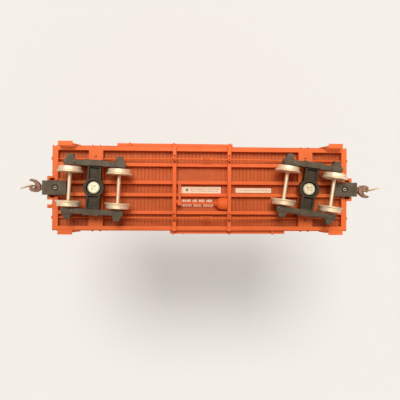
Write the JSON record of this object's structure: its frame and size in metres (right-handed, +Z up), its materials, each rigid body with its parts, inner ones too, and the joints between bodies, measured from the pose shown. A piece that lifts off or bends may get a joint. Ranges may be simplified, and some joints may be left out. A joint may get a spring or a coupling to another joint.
{
  "type": "model box car",
  "caption": "Narrow gauge model box car with swivelling arch bar trucks, rolling wheels, sprung couplers with knuckles, sliding side doors, truss rods and a hand brake.",
  "frame": {"origin": "on the plane that the wheel flanges stand on, under the centre of the car's box", "axes": "+X along the car away from the brake end, +Y to the car's left side, +Z up from the rails to the roof"},
  "size_m": [0.1168, 0.032, 0.0419],
  "materials": {
    "body": "satin moulded plastic, oxide red",
    "black_plastic": "matt moulded plastic, weathered black",
    "nickel": "warm nickel plate, turned",
    "screw": "pale nickel-plated brass",
    "coupler": "rust brown, matt",
    "bronze": "dull phosphor bronze",
    "black_screw": "blackened steel",
    "label": "cream paper",
    "steel_weight": "plain rolled steel"
  },
  "bodies": {
    "car_body": {"underframe": "body", "floor": "body", "needle_beam_b": "body", "needle_beam_a": "body", "queen_posts": "body", "truss_rods": "body", "turnbuckles": "body", "brake_cylinder": "body", "brake_lever": "body", "piston_rod": "body", "data_labels": "label", "side_wall_left": "body", "side_wall_right": "body", "end_wall_b": "body", "end_wall_a": "body", "roof": "body", "running_board_saddles": "body", "running_board": "body", "door_tracks_left": "body", "door_tracks_right": "body", "side_ladders": "body", "end_ladders": "body", "grab_irons": "body", "stirrup_steps": "body", "brake_staff": "body", "brake_wheel": "body", "brake_brackets": "body", "weight": "steel_weight", "king_screws": "screw", "coupler_box_b": "black_plastic", "coupler_box_a": "black_plastic", "coupler_lid_b": "black_plastic", "coupler_lid_a": "black_plastic", "coupler_screws": "black_screw", "centring_spring_b": "bronze", "centring_spring_a": "bronze"},
    "door_left": {"door_left": "body", "door_fittings_left": "body"},
    "door_right": {"door_right": "body", "door_fittings_right": "body"},
    "truck_b": {"truck_bolster_b": "black_plastic", "sideframes_b": "black_plastic", "journal_lids_b": "black_plastic"},
    "wheelset_b1": {"axle_b1": "nickel", "wheels_b1": "nickel"},
    "wheelset_b2": {"axle_b2": "nickel", "wheels_b2": "nickel"},
    "truck_a": {"truck_bolster_a": "black_plastic", "sideframes_a": "black_plastic", "journal_lids_a": "black_plastic"},
    "wheelset_a1": {"axle_a1": "nickel", "wheels_a1": "nickel"},
    "wheelset_a2": {"axle_a2": "nickel", "wheels_a2": "nickel"},
    "coupler_b": {"coupler_b": "coupler", "trip_pin_b": "bronze"},
    "knuckle_b": {"knuckle_b": "coupler"},
    "coupler_a": {"coupler_a": "coupler", "trip_pin_a": "bronze"},
    "knuckle_a": {"knuckle_a": "coupler"}
  },
  "joints": [
    {"name": "door_left_slide", "type": "slide", "parent": "car_body", "child": "door_left", "axis": [1, 0, 0], "range_m": [0, 0.0175]},
    {"name": "door_right_slide", "type": "slide", "parent": "car_body", "child": "door_right", "axis": [-1, 0, 0], "range_m": [0, 0.0175]},
    {"name": "truck_b_swivel", "type": "hinge", "parent": "car_body", "child": "truck_b", "pos_m": [-0.0357, 0, 0.0065], "axis": [0, 0, 1], "range_deg": [-12.4, 6.6]},
    {"name": "wheelset_b1_roll", "type": "hinge", "parent": "truck_b", "child": "wheelset_b1", "pos_m": [-0.04369, -0.0004, 0.00435], "axis": [-0.0506, 0.9987, 0], "continuous": true},
    {"name": "wheelset_b2_roll", "type": "hinge", "parent": "truck_b", "child": "wheelset_b2", "pos_m": [-0.02771, 0.0004, 0.00435], "axis": [-0.0506, 0.9987, 0], "continuous": true},
    {"name": "truck_a_swivel", "type": "hinge", "parent": "car_body", "child": "truck_a", "pos_m": [0.0357, 0, 0.0065], "axis": [0, 0, 1], "range_deg": [-17.7, 1.3]},
    {"name": "wheelset_a1_roll", "type": "hinge", "parent": "truck_a", "child": "wheelset_a1", "pos_m": [0.02778, -0.00114, 0.00435], "axis": [-0.1426, 0.9898, 0], "continuous": true},
    {"name": "wheelset_a2_roll", "type": "hinge", "parent": "truck_a", "child": "wheelset_a2", "pos_m": [0.04362, 0.00114, 0.00435], "axis": [-0.1426, 0.9898, 0], "continuous": true},
    {"name": "coupler_b_swing", "type": "hinge", "parent": "car_body", "child": "coupler_b", "pos_m": [-0.04875, 0, 0.0081], "axis": [0, 0, 1], "range_deg": [-8, 8], "stiffness_Nm_per_rad": 0.0002},
    {"name": "knuckle_b_open", "type": "hinge", "parent": "coupler_b", "child": "knuckle_b", "pos_m": [-0.05575, 0.00075, 0.0081], "axis": [0, 0, -1], "range_deg": [0, 25], "stiffness_Nm_per_rad": 0.0001},
    {"name": "coupler_a_swing", "type": "hinge", "parent": "car_body", "child": "coupler_a", "pos_m": [0.04875, 0, 0.0081], "axis": [0, 0, 1], "range_deg": [-8, 8], "stiffness_Nm_per_rad": 0.0002},
    {"name": "knuckle_a_open", "type": "hinge", "parent": "coupler_a", "child": "knuckle_a", "pos_m": [0.05575, -0.00075, 0.0081], "axis": [0, 0, -1], "range_deg": [0, 25], "stiffness_Nm_per_rad": 0.0001}
  ]
}
